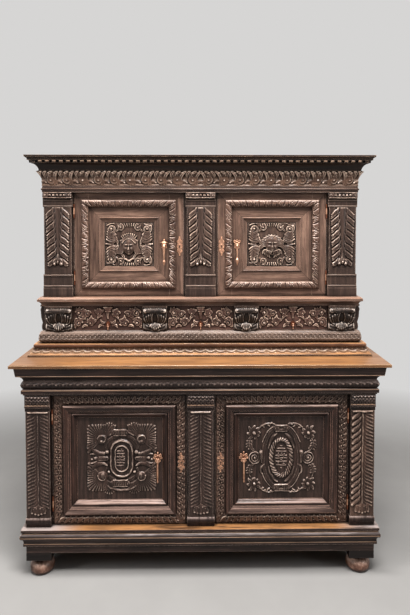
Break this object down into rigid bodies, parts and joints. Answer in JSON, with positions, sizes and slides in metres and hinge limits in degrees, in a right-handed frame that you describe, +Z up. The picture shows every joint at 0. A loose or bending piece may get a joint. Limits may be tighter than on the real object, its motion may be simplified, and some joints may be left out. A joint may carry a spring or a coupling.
{
  "type": "court cupboard",
  "caption": "Carved two-stage court cupboard on bun feet, with panelled doors above and below, drawers between carved corbels, pilasters and drop handles.",
  "frame": {"origin": "on the floor, under the middle of the table slab", "axes": "+X to the right seen from the front, +Y to the back, +Z up"},
  "size_m": [1.8, 0.6, 2.035],
  "materials": {
    "dark_walnut": "waxed, worn",
    "door_walnut": "waxed",
    "golden_walnut": "waxed, sun faded",
    "inner_oak": "bare, aged",
    "aged_brass": "aged",
    "lock_iron": "dull"
  },
  "bodies": {
    "root": {"back_boards": "inner_oak", "bun_feet": "dark_walnut", "carcass_boards": "inner_oak", "corbels": "dark_walnut", "crown": "dark_walnut", "drawer_guides": "inner_oak", "frieze": "dark_walnut", "hinge_leaves": "aged_brass", "lower_centre_post": "dark_walnut", "lower_cornice": "dark_walnut", "lower_frame": "dark_walnut", "lower_pilasters": "dark_walnut", "plinth": "dark_walnut", "shelves": "inner_oak", "side_panels": "dark_walnut", "table_top": "golden_walnut", "torus_moulding": "dark_walnut", "upper_base_board": "golden_walnut", "upper_centre_post": "dark_walnut", "upper_frame": "dark_walnut", "upper_pilasters": "dark_walnut", "waist_moulding": "dark_walnut", "wave_moulding": "golden_walnut"},
    "upper_left_door": {"upper_left_door_frame": "door_walnut", "upper_left_door_moulding": "door_walnut", "upper_left_door_panel": "door_walnut", "upper_left_door_fittings": "aged_brass"},
    "upper_left_door_handle": {"upper_left_door_handle": "aged_brass"},
    "upper_left_door_bolt": {"upper_left_door_bolt": "lock_iron"},
    "upper_right_door": {"upper_right_door_frame": "door_walnut", "upper_right_door_moulding": "door_walnut", "upper_right_door_panel": "door_walnut", "upper_right_door_fittings": "aged_brass"},
    "upper_right_door_handle": {"upper_right_door_handle": "aged_brass"},
    "upper_right_door_bolt": {"upper_right_door_bolt": "lock_iron"},
    "lower_left_door": {"lower_left_door_frame": "dark_walnut", "lower_left_door_moulding": "dark_walnut", "lower_left_door_panel": "dark_walnut", "lower_left_door_fittings": "aged_brass"},
    "lower_left_door_handle": {"lower_left_door_handle": "aged_brass"},
    "lower_left_door_bolt": {"lower_left_door_bolt": "lock_iron"},
    "lower_right_door": {"lower_right_door_frame": "dark_walnut", "lower_right_door_moulding": "dark_walnut", "lower_right_door_panel": "dark_walnut", "lower_right_door_fittings": "aged_brass"},
    "lower_right_door_handle": {"lower_right_door_handle": "aged_brass"},
    "lower_right_door_bolt": {"lower_right_door_bolt": "lock_iron"},
    "left_drawer": {"left_drawer_front": "dark_walnut", "left_drawer_box": "inner_oak", "left_drawer_pull_plate": "aged_brass"},
    "left_drawer_pull": {"left_drawer_pull": "aged_brass"},
    "middle_drawer": {"middle_drawer_front": "dark_walnut", "middle_drawer_box": "inner_oak", "middle_drawer_pull_plate": "aged_brass"},
    "middle_drawer_pull": {"middle_drawer_pull": "aged_brass"},
    "right_drawer": {"right_drawer_front": "dark_walnut", "right_drawer_box": "inner_oak", "right_drawer_pull_plate": "aged_brass"},
    "right_drawer_pull": {"right_drawer_pull": "aged_brass"}
  },
  "joints": [
    {"name": "upper_left_door_hinge", "type": "hinge", "parent": "root", "child": "upper_left_door", "pos_m": [-0.63575, -0.099, 1.59575], "axis": [0, 0, -1], "range_deg": [0, 100]},
    {"name": "upper_left_door_handle_swing", "type": "hinge", "parent": "upper_left_door", "child": "upper_left_door_handle", "pos_m": [-0.18425, -0.109, 1.597], "axis": [-1, 0, 0], "range_deg": [0, 80]},
    {"name": "upper_left_door_bolt_throw", "type": "slide", "parent": "upper_left_door", "child": "upper_left_door_bolt", "axis": [1, 0, 0], "range_m": [0, 0.009]},
    {"name": "upper_right_door_hinge", "type": "hinge", "parent": "root", "child": "upper_right_door", "pos_m": [0.63575, -0.099, 1.59575], "axis": [0, 0, 1], "range_deg": [0, 100]},
    {"name": "upper_right_door_handle_swing", "type": "hinge", "parent": "upper_right_door", "child": "upper_right_door_handle", "pos_m": [0.18425, -0.109, 1.597], "axis": [-1, 0, 0], "range_deg": [0, 80]},
    {"name": "upper_right_door_bolt_throw", "type": "slide", "parent": "upper_right_door", "child": "upper_right_door_bolt", "axis": [-1, 0, 0], "range_m": [0, 0.009]},
    {"name": "lower_left_door_hinge", "type": "hinge", "parent": "root", "child": "lower_left_door", "pos_m": [-0.71425, -0.239, 0.5595], "axis": [0, 0, -1], "range_deg": [0, 105]},
    {"name": "lower_left_door_handle_swing", "type": "hinge", "parent": "lower_left_door", "child": "lower_left_door_handle", "pos_m": [-0.209, -0.239, 0.562], "axis": [-1, 0, 0], "range_deg": [0, 80]},
    {"name": "lower_left_door_bolt_throw", "type": "slide", "parent": "lower_left_door", "child": "lower_left_door_bolt", "axis": [1, 0, 0], "range_m": [0, 0.009]},
    {"name": "lower_right_door_hinge", "type": "hinge", "parent": "root", "child": "lower_right_door", "pos_m": [0.71425, -0.239, 0.5595], "axis": [0, 0, 1], "range_deg": [0, 105]},
    {"name": "lower_right_door_handle_swing", "type": "hinge", "parent": "lower_right_door", "child": "lower_right_door_handle", "pos_m": [0.209, -0.239, 0.562], "axis": [-1, 0, 0], "range_deg": [0, 80]},
    {"name": "lower_right_door_bolt_throw", "type": "slide", "parent": "lower_right_door", "child": "lower_right_door_bolt", "axis": [-1, 0, 0], "range_m": [0, 0.009]},
    {"name": "left_drawer_slide", "type": "slide", "parent": "root", "child": "left_drawer", "axis": [0, -1, 0], "range_m": [0, 0.26]},
    {"name": "left_drawer_pull_swing", "type": "hinge", "parent": "left_drawer", "child": "left_drawer_pull", "pos_m": [-0.46575, -0.124, 1.19626], "axis": [-1, 0, 0], "range_deg": [0, 80]},
    {"name": "middle_drawer_slide", "type": "slide", "parent": "root", "child": "middle_drawer", "axis": [0, -1, 0], "range_m": [0, 0.26]},
    {"name": "middle_drawer_pull_swing", "type": "hinge", "parent": "middle_drawer", "child": "middle_drawer_pull", "pos_m": [0, -0.124, 1.19626], "axis": [-1, 0, 0], "range_deg": [0, 80]},
    {"name": "right_drawer_slide", "type": "slide", "parent": "root", "child": "right_drawer", "axis": [0, -1, 0], "range_m": [0, 0.26]},
    {"name": "right_drawer_pull_swing", "type": "hinge", "parent": "right_drawer", "child": "right_drawer_pull", "pos_m": [0.46575, -0.124, 1.19626], "axis": [-1, 0, 0], "range_deg": [0, 80]}
  ]
}
